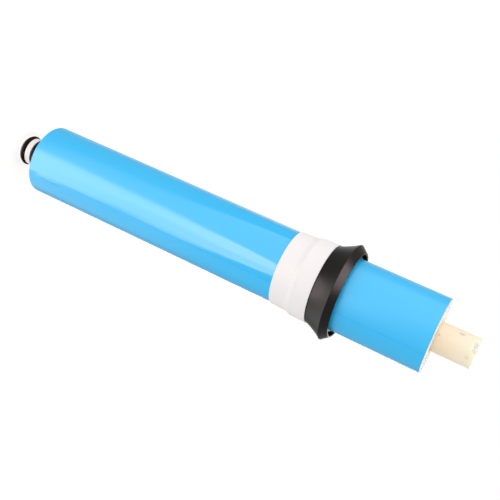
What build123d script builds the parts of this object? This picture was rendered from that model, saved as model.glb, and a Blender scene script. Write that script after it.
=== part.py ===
from build123d import *
import math
import os

# Spiral-wound reverse osmosis membrane element of the small domestic size, in millimetres.
# It stands on the tip of its O-ring spigot, with its feed end up.
# Z runs along the axis and the origin is the centre of the tip.

# Whole element
body_diameter = 42.6
body_length = 256.2
spigot_length = 19.9
stub_length = 21.9

# Permeate tube
tube_diameter = 17.0
tube_wall = 3.5
tip_chamfer = 0.8
tip_flange = 1.0
groove_spacing = 7.25
parting_groove_width = 0.5
parting_groove_depth = 0.25
feed_hole_diameter = 2.0
feed_hole_spacing = 24.0
feed_hole_margin = 20.0
stub_line_height = 0.8
slot_width = 5.8
slot_depth = 2.5
slot_angle = -110.0
stub_edge_radius = 0.3

# Plug, pressed into a counterbore in the feed end of the tube
plug_seat_step = 1.0
plug_length = 7.0
plug_seat_chamfer = 0.5
plug_recess = 3.2
plug_rim = 1.4
plug_dish_depth = 2.0

# O-rings on the spigot
o_ring_section = 3.0
o_ring_proud = 0.85
o_ring_side_clearance = 0.30

# Wound leaf, in the order of its plies from the tube outwards; the net of the spacer gives
# way a little, so that whole turns fill the room in the wrap
carrier_thickness = 0.34
membrane_thickness = 0.18
least_spacer_thickness = 0.60
ply_gap = 0.02

# Outer wrap, a sheet of tape with a lengthwise overlap
wrap_thickness = 0.20
wrap_overlap = 12.0
wrap_ramp = 2.5
seam_angle = -59.4

# Brine seal, a rubber collar whose lip opens towards the feed end
seal_to_feed_end = 50.9
sleeve_wall = 1.55
sleeve_length = 9.7
flare_length = 10.9
flare_hollow = 0.35
lip_reach = 7.05
lip_bevel_length = 4.0
lip_bevel_drop = 3.3
lip_thickness = 0.9
lip_edge_radius = 0.4
leg_drop = 1.5
leg_wall = 0.75
vee_depth = 7.6
vee_width = 0.7

# White tape that holds the sleeve of the seal on the wrap
band_width = 22.5
band_thickness = 0.50
band_rise = 0.40
band_ramp = 2.8

# Fits
seat_gap = 0.02
overrun = 5.0

# Heights and radii that several pieces share
body_bottom = spigot_length
body_top = body_bottom + body_length
tube_top = body_top + stub_length
body_radius = body_diameter / 2
tube_radius = tube_diameter / 2
bore_radius = tube_radius - tube_wall
plug_seat_radius = bore_radius + plug_seat_step
plug_top = tube_top - plug_recess
plug_bottom = plug_top - plug_length
roll_radius = body_radius - wrap_thickness
wrap_outside = body_radius + seat_gap
seam_height = wrap_thickness

# O-ring grooves: the floor lies one section below the outside of the ring
groove_width = o_ring_section + 2 * o_ring_side_clearance
groove_floor = tube_radius + o_ring_proud - o_ring_section - seat_gap
outer_ring_height = tip_flange + groove_width / 2
ring_heights = {"outer_o_ring": outer_ring_height, "inner_o_ring": outer_ring_height + groove_spacing}

# Heights of the seal and its band
bevel_top = body_top - seal_to_feed_end
leg_top = bevel_top - leg_drop
peak_height = bevel_top - lip_bevel_length
sleeve_top = peak_height - flare_length
sleeve_bottom = sleeve_top - sleeve_length
sleeve_radius = wrap_outside + sleeve_wall
band_bottom = sleeve_top - band_width

upwards = (Align.CENTER, Align.CENTER, Align.MIN)


def turned(points):
    """Solid turned about Z from the (radius, height) corners of its section."""
    return revolve(Plane.XZ * make_face(Polyline(*points, close=True)), axis=Axis.Z)


def disc_cylinder(radius, bottom, top):
    return Pos(0, 0, bottom) * Cylinder(radius, top - bottom, align=upwards)


# Permeate tube

def groove_corners(height):
    """Corners of one O-ring groove, from its lower edge to its upper edge."""
    low, high = height - groove_width / 2, height + groove_width / 2
    return [(tube_radius, low), (groove_floor, low), (groove_floor, high), (tube_radius, high)]


def parting_corners(height):
    """Corners of a fine moulding line, on the land between the grooves or round the stub's root."""
    half = parting_groove_width / 2
    floor = tube_radius - parting_groove_depth
    return [(tube_radius, height - half), (floor, height), (tube_radius, height + half)]


def tube_section():
    outer, inner = ring_heights.values()
    return [
        (bore_radius, 0),
        (tube_radius - tip_chamfer, 0),
        (tube_radius, tip_chamfer),
        *groove_corners(outer),
        *parting_corners((outer + inner) / 2),
        *groove_corners(inner),
        *parting_corners(body_top + stub_line_height),
        (tube_radius, tube_top - stub_edge_radius),
        (tube_radius - stub_edge_radius, tube_top),
        (plug_seat_radius, tube_top),
        (plug_seat_radius, plug_bottom),
        (bore_radius + plug_seat_chamfer, plug_bottom),
        (bore_radius, plug_bottom - plug_seat_chamfer),
    ]


def feed_hole_heights():
    span = body_length - 2 * feed_hole_margin
    count = max(2, math.floor(span / feed_hole_spacing) + 1)
    return [body_bottom + feed_hole_margin + span * i / (count - 1) for i in range(count)]


def permeate_tube():
    tube = turned(tube_section())
    drill = Rot(90, 0, 0) * Cylinder(feed_hole_diameter / 2, tube_diameter + overrun)
    for i, height in enumerate(feed_hole_heights()):
        tube -= Pos(0, 0, height) * Rot(0, 0, 90 * (i % 2)) * drill
    slot = Box(tube_diameter + overrun, slot_width, slot_depth + overrun, align=upwards)
    return tube - Pos(0, 0, tube_top - slot_depth) * Rot(0, 0, slot_angle) * slot


def end_plug():
    """Cup that stands on the shoulder of its seat and closes the bore, with its open side up."""
    radius = plug_seat_radius - seat_gap
    dish_floor = plug_top - plug_dish_depth
    return turned([
        (0, plug_bottom),
        (radius - plug_seat_chamfer, plug_bottom),
        (radius, plug_bottom + plug_seat_chamfer),
        (radius, plug_top),
        (radius - plug_rim, plug_top),
        (radius - plug_rim, dish_floor),
        (0, dish_floor),
    ])


def o_ring(height):
    return Pos(0, 0, height) * Torus(tube_radius + o_ring_proud - o_ring_section / 2, o_ring_section / 2)


# Wound leaf: every ply is a spiral of quarter arcs, whose centres go round a small square,
# so that plies at different offsets stay parallel and each turn lies on the one before

winding_room = roll_radius - tube_radius - 2 * ply_gap
plies_but_spacer = carrier_thickness + 2 * membrane_thickness + 4 * ply_gap
turn_count = math.floor(winding_room / (plies_but_spacer + least_spacer_thickness))
turn_pitch = winding_room / turn_count
spacer_thickness = turn_pitch - plies_but_spacer
quarter_step = turn_pitch / 4
carrier_offset = 0
inner_membrane_offset = carrier_offset + carrier_thickness + ply_gap
spacer_offset = inner_membrane_offset + membrane_thickness + ply_gap
outer_membrane_offset = spacer_offset + spacer_thickness + ply_gap
first_radius = tube_radius + ply_gap + quarter_step / 2


def arc_centre(quarter):
    half = quarter_step / 2
    return [(-half, half), (-half, -half), (half, -half), (half, half)][quarter % 4]


def arc_radius(quarter, offset):
    return first_radius + quarter * quarter_step + offset


def spiral_arcs(last, offset):
    """Quarter arcs from the tube to the last, at one offset from the inner face of the carrier."""
    return [CenterArc(arc_centre(q), arc_radius(q, offset), 90 * q, 90) for q in range(last + 1)]


def last_quarter(outer_offset):
    """The last quarter whose arc clears the wrap."""
    room = roll_radius - ply_gap - outer_offset - quarter_step / 2 - first_radius
    return math.floor(room / quarter_step)


def wound(edges):
    face = make_face(edges)
    return Pos(0, 0, body_bottom) * extrude(face, amount=body_length)


def plain_ply(offset, thickness):
    """One ply that starts and ends square."""
    last = last_quarter(offset + thickness)
    inside = spiral_arcs(last, offset)
    outside = spiral_arcs(last, offset + thickness)
    ends = [Line(inside[0] @ 0, outside[0] @ 0), Line(inside[-1] @ 1, outside[-1] @ 1)]
    return wound([*inside, *outside, *ends])


def fold_arc(start, end):
    """Half round that turns back from one ply to the other at the start of the leaf."""
    middle = (start + end) / 2
    back = Vector(0, -(end - start).length / 2)
    return ThreePointArc(start, middle + back, end)


def membrane_leaf():
    """One sheet folded in half round the leading edge of the feed spacer."""
    inner_last = last_quarter(inner_membrane_offset + membrane_thickness)
    outer_last = last_quarter(outer_membrane_offset + membrane_thickness)
    inner_ply_inside = spiral_arcs(inner_last, inner_membrane_offset)
    inner_ply_outside = spiral_arcs(inner_last, inner_membrane_offset + membrane_thickness)
    outer_ply_inside = spiral_arcs(outer_last, outer_membrane_offset)
    outer_ply_outside = spiral_arcs(outer_last, outer_membrane_offset + membrane_thickness)
    return wound([
        *inner_ply_inside,
        *inner_ply_outside,
        *outer_ply_inside,
        *outer_ply_outside,
        fold_arc(inner_ply_inside[0] @ 0, outer_ply_outside[0] @ 0),
        fold_arc(inner_ply_outside[0] @ 0, outer_ply_inside[0] @ 0),
        Line(inner_ply_inside[-1] @ 1, inner_ply_outside[-1] @ 1),
        Line(outer_ply_inside[-1] @ 1, outer_ply_outside[-1] @ 1),
    ])


def permeate_carrier():
    return plain_ply(carrier_offset, carrier_thickness)


def feed_spacer():
    return plain_ply(spacer_offset, spacer_thickness)


# Outer wrap

def wrap_outline(radius):
    """Outside of the wrap: a circle that ramps up over the hidden end and steps down at the seam."""
    raised = radius + seam_height
    overlap_turn = math.degrees(wrap_overlap / body_radius)
    ramp_turn = math.degrees(wrap_ramp / body_radius)
    low_turn = 360 - overlap_turn - ramp_turn
    raised_arc = CenterArc((0, 0), raised, seam_angle, overlap_turn)
    low_arc = CenterArc((0, 0), radius, seam_angle + overlap_turn + ramp_turn, low_turn)
    ramp = Line(raised_arc @ 1, low_arc @ 0)
    step = Line(low_arc @ 1, raised_arc @ 0)
    return make_face([raised_arc, ramp, low_arc, step])


def outer_wrap():
    sheet = wrap_outline(body_radius) - Circle(roll_radius)
    return Pos(0, 0, body_bottom) * extrude(sheet, amount=body_length)


def seam_clearance():
    """Room for the wrap and its seam inside what sits on it."""
    return Pos(0, 0, body_bottom) * extrude(wrap_outline(wrap_outside), amount=body_length)


# Brine seal and its band

def brine_seal():
    lip_radius = body_radius + lip_reach
    bevel_radius = lip_radius - lip_bevel_drop
    mouth_radius = bevel_radius - lip_thickness
    vee_bottom = bevel_top - vee_depth
    vee_radius = sleeve_radius + vee_width
    leg_radius = wrap_outside + leg_wall
    flare = SagittaArc((sleeve_radius, sleeve_top), (lip_radius, peak_height), flare_hollow)
    straight = Polyline(
        (lip_radius, peak_height),
        (bevel_radius, bevel_top),
        (mouth_radius, bevel_top),
        (vee_radius, vee_bottom),
        (sleeve_radius, vee_bottom),
        (leg_radius, leg_top),
        (body_radius - overrun, leg_top),
        (body_radius - overrun, sleeve_bottom),
        (sleeve_radius, sleeve_bottom),
        (sleeve_radius, sleeve_top),
    )
    section = make_face([flare, *straight.edges()])
    rounded = [v for v in section.vertices() if v.X > sleeve_radius + vee_width and v.Y > sleeve_top]
    section = fillet(rounded, lip_edge_radius)
    collar = revolve(Plane.XZ * section, axis=Axis.Z)
    return collar - seam_clearance()


def retaining_band():
    """Tape that rises in a cone from the wrap and steps up over the end of the sleeve."""
    tape_on_wrap = wrap_outside + band_thickness
    tape_on_sleeve = sleeve_radius + seat_gap + band_thickness
    step_foot = sleeve_bottom - band_ramp
    tape = turned([
        (body_radius - overrun, band_bottom),
        (tape_on_wrap, band_bottom),
        (tape_on_wrap + band_rise, step_foot),
        (tape_on_sleeve, sleeve_bottom - seat_gap),
        (tape_on_sleeve, sleeve_top),
        (body_radius - overrun, sleeve_top),
    ])
    sleeve_room = disc_cylinder(sleeve_radius + seat_gap, sleeve_bottom - seat_gap, sleeve_top + overrun)
    return tape - sleeve_room - seam_clearance()


def all_parts():
    parts = {
        "permeate_tube": permeate_tube(),
        "tube_end_plug": end_plug(),
        "permeate_carrier": permeate_carrier(),
        "membrane_leaf": membrane_leaf(),
        "feed_spacer": feed_spacer(),
        "outer_wrap": outer_wrap(),
        "brine_seal": brine_seal(),
        "retaining_band": retaining_band(),
    }
    for name, height in ring_heights.items():
        parts[name] = o_ring(height)
    return parts


os.makedirs("parts", exist_ok=True)
for name, solid in all_parts().items():
    export_step(solid, f"parts/{name}.step")
    print(name, round(solid.volume, 1))
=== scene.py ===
import bmesh
import bpy
from math import cos, pi, radians, sin
from mathutils import Matrix, Vector
from random import Random


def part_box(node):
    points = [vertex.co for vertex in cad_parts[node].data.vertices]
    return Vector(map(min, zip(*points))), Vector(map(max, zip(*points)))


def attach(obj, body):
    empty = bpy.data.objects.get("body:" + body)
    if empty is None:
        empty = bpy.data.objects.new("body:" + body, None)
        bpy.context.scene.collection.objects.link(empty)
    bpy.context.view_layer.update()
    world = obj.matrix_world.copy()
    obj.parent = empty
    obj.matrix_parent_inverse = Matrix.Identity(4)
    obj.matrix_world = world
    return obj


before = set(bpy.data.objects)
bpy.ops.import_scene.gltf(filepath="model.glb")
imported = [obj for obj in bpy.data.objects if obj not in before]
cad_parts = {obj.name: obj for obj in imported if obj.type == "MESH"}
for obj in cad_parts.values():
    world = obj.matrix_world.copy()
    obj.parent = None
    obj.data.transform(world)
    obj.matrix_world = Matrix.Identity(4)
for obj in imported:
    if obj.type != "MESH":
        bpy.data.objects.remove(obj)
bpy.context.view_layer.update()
mm = 0.001


# Heights and radii of the part, read from the frame

def heights(node):
    low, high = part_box(node)
    return low[2], high[2]


wrapBottom, wrapTop = heights("outer_wrap")
tubeTop = heights("permeate_tube")[1]
wrapRadius = -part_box("outer_wrap")[0][0]
tubeRadius = -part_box("permeate_tube")[0][0]


# A point on a cylinder about the axis
def onCylinder(radius, angle, height):
    return (radius * cos(radians(angle)), radius * sin(radians(angle)), height)


# Adds an object to the scene
def addObject(name, data):
    thing = bpy.data.objects.new(name, data)
    bpy.context.scene.collection.objects.link(thing)
    return thing


# Turns a finished bmesh into an object of one material
def addPiece(name, mesh, material):
    data = bpy.data.meshes.new(name)
    mesh.to_mesh(data)
    mesh.free()
    data.materials.append(material)
    return addObject(name, data)


# Shader nodes

# The colour written #RRGGBB, as the linear one that shaders take
def srgb(written):
    values = [int(written[i:i + 2], 16) / 255 for i in (1, 3, 5)]
    return [v / 12.92 if v <= 0.04045 else ((v + 0.055) / 1.055) ** 2.4 for v in values] + [1]


# Adds a node: settings are properties or input values by name or number, links are sockets by input
def addNode(tree, kind, settings=None, links=None):
    node = tree.nodes.new(kind)
    for name, value in (settings or {}).items():
        if isinstance(name, int) or name in node.inputs:
            node.inputs[name].default_value = value
        else:
            setattr(node, name, value)
    for name, source in (links or {}).items():
        tree.links.new(source, node.inputs[name])
    return node


# A material with these shader inputs, and what its pattern needs: node tree, shader and position
def newMaterial(name, **shader):
    material = bpy.data.materials.new(name)
    material.use_nodes = True
    tree = material.node_tree
    tree.nodes.clear()
    surface = addNode(tree, "ShaderNodeBsdfPrincipled", shader)
    addNode(tree, "ShaderNodeOutputMaterial", links={"Surface": surface.outputs["BSDF"]})
    where = addNode(tree, "ShaderNodeTexCoord").outputs["Object"]
    return material, tree, surface, where


# One step of arithmetic on numbers and sockets
def sums(tree, operation, *values):
    node = addNode(tree, "ShaderNodeMath", {"operation": operation})
    for i, value in enumerate(values):
        if isinstance(value, (int, float)):
            node.inputs[i].default_value = value
        else:
            tree.links.new(value, node.inputs[i])
    return node.outputs[0]


# 1 inside the edge low, 0 past the edge high
def fade(tree, value, low, high):
    node = addNode(tree, "ShaderNodeMapRange", {
        "interpolation_type": "SMOOTHSTEP", 1: low, 2: high, 3: 1.0, 4: 0.0}, {0: value})
    return node.outputs[0]


# The first colour where the share is 0, and the second where it is 1
def mixed(tree, share, first, second):
    node = addNode(tree, "ShaderNodeMix", {"data_type": "RGBA"}, {0: share})  # its colours are 6 and 7
    for socket, colour in ((node.inputs[6], first), (node.inputs[7], second)):
        if isinstance(colour, list):
            socket.default_value = colour
        else:
            tree.links.new(colour, socket)
    return node.outputs[2]


# The position counted in units of the given lengths, in millimetres along X, Y and Z
def counted(tree, where, lengths):
    return addNode(tree, "ShaderNodeVectorMath", {
        "operation": "MULTIPLY", 1: [1 / (length * mm) for length in lengths]}, {0: where}).outputs[0]


def heightOf(tree, where):
    return addNode(tree, "ShaderNodeSeparateXYZ", links={0: where}).outputs[2]


def axisDistance(tree, where):
    across = addNode(tree, "ShaderNodeVectorMath", {"operation": "MULTIPLY", 1: (1, 1, 0)}, {0: where})
    distance = addNode(tree, "ShaderNodeVectorMath", {"operation": "LENGTH"}, {0: across.outputs[0]})
    return distance.outputs["Value"]


# Noise whose grains are that long
def grain(tree, where, lengths, detail=2.0):
    node = addNode(tree, "ShaderNodeTexNoise", {"Scale": 1.0, "Detail": detail}, {
        "Vector": counted(tree, where, lengths)})
    return node.outputs[0]


# Raises the surface by the height, which counts in units of the depth, in millimetres
def bump(tree, surface, height, depth=1.0):
    node = addNode(tree, "ShaderNodeBump", {"Strength": 1.0, "Distance": depth * mm}, {"Height": height})
    for name in ("Normal", "Coat Normal"):
        tree.links.new(node.outputs[0], surface.inputs[name])


# A patch round a point: 1 in its core and 0 past its half lengths along X, Y and Z
def patch(tree, where, centre, halfLengths, core=0.3):
    offset = addNode(tree, "ShaderNodeVectorMath", {"operation": "SUBTRACT", 1: centre}, {0: where})
    distance = addNode(tree, "ShaderNodeVectorMath", {"operation": "LENGTH"}, {
        0: counted(tree, offset.outputs[0], halfLengths)})
    return fade(tree, distance.outputs["Value"], core, 1.0)


# Materials, with lengths in millimetres and heights from the bottom of the wrap or down from the tube's end

# Vinyl tape wound tight over the roll: a clear gloss skin on an even sky blue, gently wavy, glossiest in the
# middle of the roll and duller again past the seal, with a few creases pressed in near the spigot
blue = {
    "colour": "#26C3FF", "roughness": 0.45, "ior": 1.2, "coatIor": 1.7,
    "dullGloss": 0.27, "freshGloss": 0.09, "endGloss": 0.29, "freshBand": (70, 160), "endBand": (172, 200),
    "waveLengths": (14, 14, 60), "waveDepth": 1.0,
    "creaseAngle": -56, "creaseHeights": (4, 26), "creaseHalfWidth": 2.4,
    "creaseLengths": (1.7, 1.7, 20), "creaseDepth": 0.9,
}


def blueTape(look):
    material, tree, surface, where = newMaterial("glossyBlueTape", **{
        "Base Color": srgb(look["colour"]), "Roughness": look["roughness"], "IOR": look["ior"],
        "Coat Weight": 1.0, "Coat IOR": look["coatIor"]})
    height = heightOf(tree, where)
    start, end = (wrapBottom + h * mm for h in look["freshBand"])
    dull = sums(tree, "MULTIPLY", fade(tree, height, start, end), look["dullGloss"] - look["freshGloss"])
    start, end = (wrapBottom + h * mm for h in look["endBand"])
    fresh = sums(tree, "MULTIPLY", fade(tree, height, start, end), look["freshGloss"] - look["endGloss"])
    gloss = sums(tree, "ADD", sums(tree, "ADD", dull, fresh), look["endGloss"])
    tree.links.new(gloss, surface.inputs["Coat Roughness"])
    wave = sums(tree, "MULTIPLY", grain(tree, where, look["waveLengths"], 0.0), look["waveDepth"])
    creases = grain(tree, where, look["creaseLengths"], 1.0)
    low, high = look["creaseHeights"]
    middle = onCylinder(wrapRadius, look["creaseAngle"], wrapBottom + (low + high) / 2 * mm)
    halfLengths = (look["creaseHalfWidth"], look["creaseHalfWidth"], (high - low) / 2)
    near = patch(tree, where, middle, halfLengths)
    crease = sums(tree, "MULTIPLY", sums(tree, "MULTIPLY", creases, near), look["creaseDepth"])
    bump(tree, surface, sums(tree, "ADD", wave, crease))
    return material


# Satin polyethylene tape: a soft, broad shine with faint ripples, and puckers where it climbs onto the sleeve
# of the seal
white = {
    "colour": "#F6F3F2", "roughness": 0.45, "sheen": 0.25, "waveLengths": (9, 9, 5), "waveDepth": 0.10,
    "puckerHeight": 11.4, "puckerReach": 3.5, "puckerLengths": (2.2, 2.2, 9), "puckerDepth": 0.5,
}


def whiteTape(look):
    material, tree, surface, where = newMaterial("satinWhiteTape", **{
        "Base Color": srgb(look["colour"]), "Roughness": look["roughness"],
        "Specular IOR Level": look["sheen"]})
    wave = sums(tree, "MULTIPLY", grain(tree, where, look["waveLengths"], 1.0), look["waveDepth"])
    height = heightOf(tree, where)
    step = heights("retaining_band")[0] + look["puckerHeight"] * mm
    away = sums(tree, "ABSOLUTE", sums(tree, "SUBTRACT", height, step))
    near = sums(tree, "MULTIPLY", fade(tree, away, 0.0, look["puckerReach"] * mm), look["puckerDepth"])
    puckers = grain(tree, where, look["puckerLengths"], 1.0)
    bump(tree, surface, sums(tree, "ADD", wave, sums(tree, "MULTIPLY", puckers, near)))
    return material


# Moulded nitrile rubber: near black, and its satin skin spreads each highlight into a broad grey one. The
# grain of the mould is drawn coarser than it is, so that it shows
rubber = {"colour": "#161413", "roughness": 0.30, "sheen": 0.32, "grainLength": 0.5, "grainDepth": 0.01}


def mouldedRubber(name, look):
    material, tree, surface, where = newMaterial(name, **{
        "Base Color": srgb(look["colour"]), "Roughness": look["roughness"],
        "Specular IOR Level": look["sheen"]})
    bump(tree, surface, grain(tree, where, (look["grainLength"],) * 3), look["grainDepth"])
    return material


# The O-rings are the same rubber, greased, so blacker and smoother
ringRubber = {"colour": "#0D0B0A", "roughness": 0.30, "sheen": 0.12, "grainLength": 0.4, "grainDepth": 0.005}

# Moulded ABS: milky, so a little light goes into it, and paler at the spigot. The stub is cream where it
# leaves the roll and paler towards its tip: painted shade near the roll and painted light at the tip. Three
# small darker spots are drawn on it. The slotted rim is open to light from all sides, so more comes through
# there, and the faces inside the rim are painted whiter: painted light against the shade in the slot
cream = {
    "colour": "#FBEACD", "paintedLitTipColour": "#FFF1DA", "spigotColour": "#F9F2EE", "markColour": "#B9A68A",
    "roughness": 0.35, "sheen": 0.3, "spigotReach": 19.9, "paintedLitTipReach": 18,
    "glow": 0.15, "glowDepth": 2.5, "glowSpread": (1.0, 0.85, 0.7), "rimGlow": 0.75, "rimDepths": (7, 3),
    "paintedLightSlotColour": "#FFFBF2", "paintedLightSlotSkin": (1.0, 0.4), "paintedLightSlotDepths": (10, 11),
    # each mark: angle about the axis, depth below the tube's end, half lengths along X, Y and Z, strength
    "marks": [
        (-139, 10.0, (1.6, 1.6, 2.4), 0.45),
        (-98, 20.2, (0.7, 0.7, 0.7), 0.5),
        (-64, 3.4, (1.6, 1.6, 1.6), 0.22)],
}


def creamAbs(look):
    material, tree, surface, where = newMaterial("creamAbs", **{
        "Roughness": look["roughness"], "Specular IOR Level": look["sheen"],
        "Subsurface Radius": look["glowSpread"], "Subsurface Scale": look["glowDepth"] * mm})
    height = heightOf(tree, where)
    spigotShare = fade(tree, height, wrapBottom, wrapBottom + look["spigotReach"] * mm)
    start, end = (tubeTop - depth * mm for depth in look["rimDepths"])
    less = sums(tree, "MULTIPLY", fade(tree, height, start, end), look["glow"] - look["rimGlow"])
    tree.links.new(sums(tree, "ADD", less, look["rimGlow"]), surface.inputs["Subsurface Weight"])
    # painted light and shade: the stub is drawn darker cream near the roll and paler towards its tip
    belowPaintedLitTip = fade(tree, height, tubeTop - look["paintedLitTipReach"] * mm, tubeTop)
    colour = mixed(tree, belowPaintedLitTip, srgb(look["paintedLitTipColour"]), srgb(look["colour"]))
    colour = mixed(tree, spigotShare, colour, srgb(look["spigotColour"]))
    # painted light: the faces inside the slotted rim are drawn whiter against the shade in the slot
    inner, outer = (tubeRadius - skin * mm for skin in look["paintedLightSlotSkin"])
    start, end = (tubeTop - depth * mm for depth in look["paintedLightSlotDepths"])
    inside = fade(tree, axisDistance(tree, where), inner, outer)
    paintedLightSlotShare = sums(tree, "MULTIPLY", inside, fade(tree, height, start, end))
    colour = mixed(tree, paintedLightSlotShare, colour, srgb(look["paintedLightSlotColour"]))
    # small darker spots drawn on the tube
    for angle, depth, halfLengths, strength in look["marks"]:
        centre = onCylinder(tubeRadius, angle, tubeTop - depth * mm)
        share = sums(tree, "MULTIPLY", patch(tree, where, centre, halfLengths), strength)
        colour = mixed(tree, share, colour, srgb(look["markColour"]))
    tree.links.new(colour, surface.inputs["Base Color"])
    return material


# Extruded polypropylene net, seen cut across: white strands, with painted shade in the gaps between them
net = {
    "strandColour": "#FFFFFF", "paintedShadeGapColour": "#F2EBE3", "roughness": 0.5,
    "mesh": 1.6, "unevenness": 0.6, "strandEdge": (0.35, 0.55),
}


def spacerNet(look):
    material, tree, surface, where = newMaterial("spacerNet", **{"Roughness": look["roughness"]})
    cells = addNode(tree, "ShaderNodeTexVoronoi", {"Scale": 1.0, "Randomness": look["unevenness"]}, {
        "Vector": counted(tree, where, (look["mesh"],) * 3)})
    # painted shade: the gaps between the strands are drawn duller than the strands
    strand = fade(tree, cells.outputs["Distance"], *look["strandEdge"])
    colour = mixed(tree, strand, srgb(look["paintedShadeGapColour"]), srgb(look["strandColour"]))
    tree.links.new(colour, surface.inputs["Base Color"])
    return material


# Knitted polyester stiffened with resin: dull, with the relief of its threads, drawn coarser than they are
cloth = {"colour": "#FBFAF6", "roughness": 0.85, "threadLength": 0.35, "threadDepth": 0.03}


def carrierCloth(look):
    material, tree, surface, where = newMaterial("carrierCloth", **{
        "Base Color": srgb(look["colour"]), "Roughness": look["roughness"]})
    bump(tree, surface, grain(tree, where, (look["threadLength"],) * 3), look["threadDepth"])
    return material


# Membrane film cast on a non-woven backing: a smooth peach white, flecked where its fibres lie thin
film = {
    "colour": "#FFF4E8", "fleckColour": "#F6DCC6", "roughness": 0.45,
    "fleckLengths": (1.4, 1.4, 6), "fleckShare": 0.5, "fibreLength": 0.3, "fibreDepth": 0.01,
}


def membraneFilm(look):
    material, tree, surface, where = newMaterial("membraneFilm", **{"Roughness": look["roughness"]})
    flecks = sums(tree, "MULTIPLY", grain(tree, where, look["fleckLengths"]), look["fleckShare"])
    colour = mixed(tree, flecks, srgb(look["colour"]), srgb(look["fleckColour"]))
    tree.links.new(colour, surface.inputs["Base Color"])
    bump(tree, surface, grain(tree, where, (look["fibreLength"],) * 3), look["fibreDepth"])
    return material


# The plug is ABS too, turned on a lathe, and its fine rings catch the light. It is a little whiter than the
# tube, and painted whiter still: painted light against the shade in its recess
plug = {
    "colour": "#FFFDF8", "roughness": 0.40, "glow": 0.3, "glowDepth": 1.5, "glowSpread": (1.0, 0.8, 0.6),
    "ringPitch": 0.35, "ringDepth": 0.012,
}


def turnedAbs(look):
    material, tree, surface, where = newMaterial("turnedAbs", **{
        "Base Color": srgb(look["colour"]), "Roughness": look["roughness"],
        "Subsurface Weight": look["glow"], "Subsurface Radius": look["glowSpread"],
        "Subsurface Scale": look["glowDepth"] * mm})
    turns = sums(tree, "MULTIPLY", axisDistance(tree, where), 2 * pi / (look["ringPitch"] * mm))
    rings = sums(tree, "SINE", turns)
    bump(tree, surface, rings, look["ringDepth"])
    return material


finishes = {
    "outer_wrap": blueTape(blue),
    "retaining_band": whiteTape(white),
    "brine_seal": mouldedRubber("sealRubber", rubber),
    "outer_o_ring": mouldedRubber("ringRubber", ringRubber),
    "permeate_tube": creamAbs(cream),
    "tube_end_plug": turnedAbs(plug),
    "membrane_leaf": membraneFilm(film),
    "feed_spacer": spacerNet(net),
    "permeate_carrier": carrierCloth(cloth),
}
finishes["inner_o_ring"] = finishes["outer_o_ring"]
for node, material in finishes.items():
    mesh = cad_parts[node].data
    mesh.materials.clear()
    mesh.materials.append(material)
print("finishes on the CAD nodes")


# Strand ends of the spacer net, which stand a little proud of both ends of the roll. The net has two layers
# that slant opposite ways, and both follow the spiral of the spacer. In millimetres and degrees

netEnds = {
    "turns": 9, "wrapThickness": 0.2, "spacerMiddle": 0.87, "bareEnd": 6,
    "strandSpacing": 1.7, "strandRadius": 0.16, "cutRadius": 0.12, "sides": 6, "length": 1.1,
    "layerShift": 0.14, "layerLead": 0.25,  # the lead is a share of the spacing
    "slant": 35, "slantSpread": 6, "proud": (0.04, 0.24), "seed": 4,
}


def strandEnds(look):
    chance = Random(look["seed"])
    mesh = bmesh.new()
    start = tubeRadius / mm + look["spacerMiddle"]
    turnPitch = (wrapRadius / mm - look["wrapThickness"] - tubeRadius / mm) / look["turns"]
    for face, outwards in ((wrapTop, 1), (wrapBottom, -1)):
        angle = radians(look["bareEnd"])
        while angle < 2 * pi * (look["turns"] - 1) - radians(look["bareEnd"]):
            radius = start + turnPitch * angle / (2 * pi)
            for layer in (-1, 1):
                place = Vector(((radius + layer * look["layerShift"]) * mm, 0, 0))
                place.z = face + outwards * (chance.uniform(*look["proud"]) - look["length"] / 2) * mm
                spread = chance.uniform(-look["slantSpread"], look["slantSpread"])
                slant = Matrix.Rotation(layer * radians(look["slant"] + spread), 4, "X")
                lead = layer * look["layerLead"] * look["strandSpacing"] / radius
                around = Matrix.Rotation(angle + lead, 4, "Z")
                upright = Matrix.Identity(4) if outwards > 0 else Matrix.Rotation(pi, 4, "X")
                bmesh.ops.create_cone(
                    mesh, cap_ends=True, segments=look["sides"], radius1=look["strandRadius"] * mm,
                    radius2=look["cutRadius"] * mm, depth=look["length"] * mm,
                    matrix=around @ Matrix.Translation(place) @ slant @ upright)
            angle += look["strandSpacing"] / radius
    piece = addPiece("netStrandEnds", mesh, finishes["feed_spacer"])
    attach(piece, "root")


strandEnds(netEnds)
print("strand ends of the net")


# Camera, in millimetres and degrees: in front of the part at -Y, tipped down, rolled, and turned by a hair to
# its own left and up

photoView = {
    "distance": 416.07, "height": 299.93, "pitch": 18.12, "roll": 114.64, "left": 0.056, "up": 0.067,
    "lens": 55.35, "sensor": 36.0, "nearest": 10,
}


def addCamera(look):
    camera = addObject("photoCamera", bpy.data.cameras.new("photoCamera"))
    camera.data.lens = look["lens"]
    camera.data.sensor_width = look["sensor"]
    camera.data.clip_start = look["nearest"] * mm
    tip = Matrix.Rotation(radians(90 - look["pitch"]), 4, "X")
    roll = Matrix.Rotation(radians(look["roll"]), 4, "Z")
    turn = Matrix.Rotation(radians(look["left"]), 4, "Y") @ Matrix.Rotation(radians(look["up"]), 4, "X")
    place = Matrix.Translation((0, -look["distance"] * mm, look["height"] * mm))
    camera.matrix_world = place @ tip @ roll @ turn
    bpy.context.scene.camera = camera
    return camera


camera = addCamera(photoView)


# Lights, placed in the camera's own axes (right, up and back) in millimetres. Each has a lamp that lights
# everything, and a stronger one, set back a little, that only the reflections see

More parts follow.
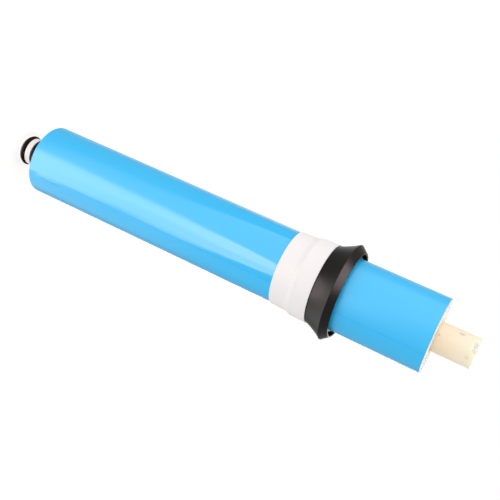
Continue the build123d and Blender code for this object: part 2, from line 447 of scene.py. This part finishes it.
lampColour, reflectedColour = "#FFF5F2", "#FFE7E2"
reflectedSetBack = 5
lamps = {
    "roundSoftbox": {"place": (-730, 66, -36), "aim": (0, 0, -440), "turn": 0, "shape": "DISK",
                     "size": (940, 940), "radiance": 0.3, "reflected": 2.8},
    "topPanel": {"place": (-63, 805, 185), "aim": (-63, 310, -310), "turn": 35, "shape": "RECTANGLE",
                 "size": (4200, 1050), "radiance": 0.2, "reflected": 0.85},
    "sideSoftbox": {"place": (820, 60, 40), "aim": (43, -20, -396), "turn": 0, "shape": "RECTANGLE",
                    "size": (500, 900), "radiance": 1.6, "reflected": 4.0},
    "rearStrip": {"place": (130, -225, -1420), "aim": (-12, 5, -442), "turn": 25, "shape": "RECTANGLE",
                  "size": (1500, 260), "radiance": 0.1, "reflected": 2.2},
}


def addLamp(name, look, radiance, colour, setBack=0):
    data = bpy.data.lights.new(name, "AREA")
    data.shape = look["shape"]
    data.size, data.size_y = (side * mm for side in look["size"])
    area = data.size * data.size_y * (pi / 4 if look["shape"] == "DISK" else 1)
    data.energy = radiance * pi * area
    data.color = srgb(colour)[:3]
    lamp = addObject(name, data)
    place, aim = (camera.matrix_world @ (Vector(look[key]) * mm) for key in ("place", "aim"))
    up = camera.matrix_world.col[1].to_3d()
    back = (place - aim).normalized()
    right = up.cross(back).normalized()
    axes = Matrix((right, back.cross(right), back)).transposed()
    turn = Matrix.Rotation(radians(look["turn"]), 4, "Z")
    lamp.matrix_world = Matrix.Translation(place + back * setBack * mm) @ axes.to_4x4() @ turn
    return lamp


for name, look in lamps.items():
    addLamp(name, look, look["radiance"], lampColour)
    reflection = addLamp(name + "Reflection", look, look["reflected"], reflectedColour, reflectedSetBack)
    reflection.visible_diffuse = False


# A pale floor that the part stands on. The camera alone sees it, so that it takes nothing from the light on
# the part, and its own glow makes it white wherever the part doesn't shade it. From below it is clear
floor = {"side": 6000, "drop": 0.1, "colour": "#BCBCBC", "glow": 0.61}


def paleFloor(look):
    mesh = bmesh.new()
    bmesh.ops.create_grid(mesh, x_segments=1, y_segments=1, size=look["side"] / 2 * mm,
                          matrix=Matrix.Translation((0, 0, -look["drop"] * mm)))
    material, tree, surface = newMaterial("paintedFloor", **{
        "Base Color": srgb(look["colour"]), "Roughness": 1.0, "Specular IOR Level": 0.0,
        "Emission Color": (1, 1, 1, 1), "Emission Strength": look["glow"]})[:3]
    side = addNode(tree, "ShaderNodeNewGeometry")
    tree.links.new(sums(tree, "SUBTRACT", 1.0, side.outputs["Backfacing"]), surface.inputs["Alpha"])
    piece = addPiece("floor", mesh, material)
    piece.visible_diffuse = piece.visible_glossy = piece.visible_transmission = piece.visible_shadow = False


paleFloor(floor)


# The world is white to the camera and through anything clear, a level fill to the surfaces it lights, and in
# reflections a backdrop that brightens towards each glow: direction in camera axes, where it starts, strength
backdrop = {
    "fill": 0.84, "reflectedFill": 0.30,
    "glows": [((0, 0.2, -1), 0.8, 0.45), ((-1, -0.1, -0.2), 0.6, 1.1)],
}


def whiteWorld(look):
    world = bpy.data.worlds.new("studio")
    bpy.context.scene.world = world
    world.use_nodes = True
    tree = world.node_tree
    tree.nodes.clear()
    direction = addNode(tree, "ShaderNodeTexCoord").outputs["Generated"]
    reflected = look["reflectedFill"]
    for towards, start, strength in look["glows"]:
        axis = (camera.matrix_world.to_3x3() @ Vector(towards)).normalized()
        along = addNode(tree, "ShaderNodeVectorMath", {"operation": "DOT_PRODUCT", 1: axis}, {0: direction})
        glow = fade(tree, along.outputs["Value"], 1.0, start)
        reflected = sums(tree, "ADD", reflected, sums(tree, "MULTIPLY", glow, strength))
    path = addNode(tree, "ShaderNodeLightPath")
    seen = sums(tree, "MAXIMUM", path.outputs["Is Camera Ray"], path.outputs["Is Transmission Ray"])
    # a mix of numbers goes from its input 2 to its input 3
    lit = addNode(tree, "ShaderNodeMix", {2: look["fill"]}, {0: path.outputs["Is Glossy Ray"], 3: reflected})
    strength = addNode(tree, "ShaderNodeMix", {3: 1.0}, {0: seen, 2: lit.outputs[0]})
    sky = addNode(tree, "ShaderNodeBackground", {"Color": (1, 1, 1, 1)}, {"Strength": strength.outputs[0]})
    addNode(tree, "ShaderNodeOutputWorld", links={"Surface": sky.outputs[0]})


whiteWorld(backdrop)
bpy.context.scene.view_settings.view_transform = "Standard"
print("camera and lights")
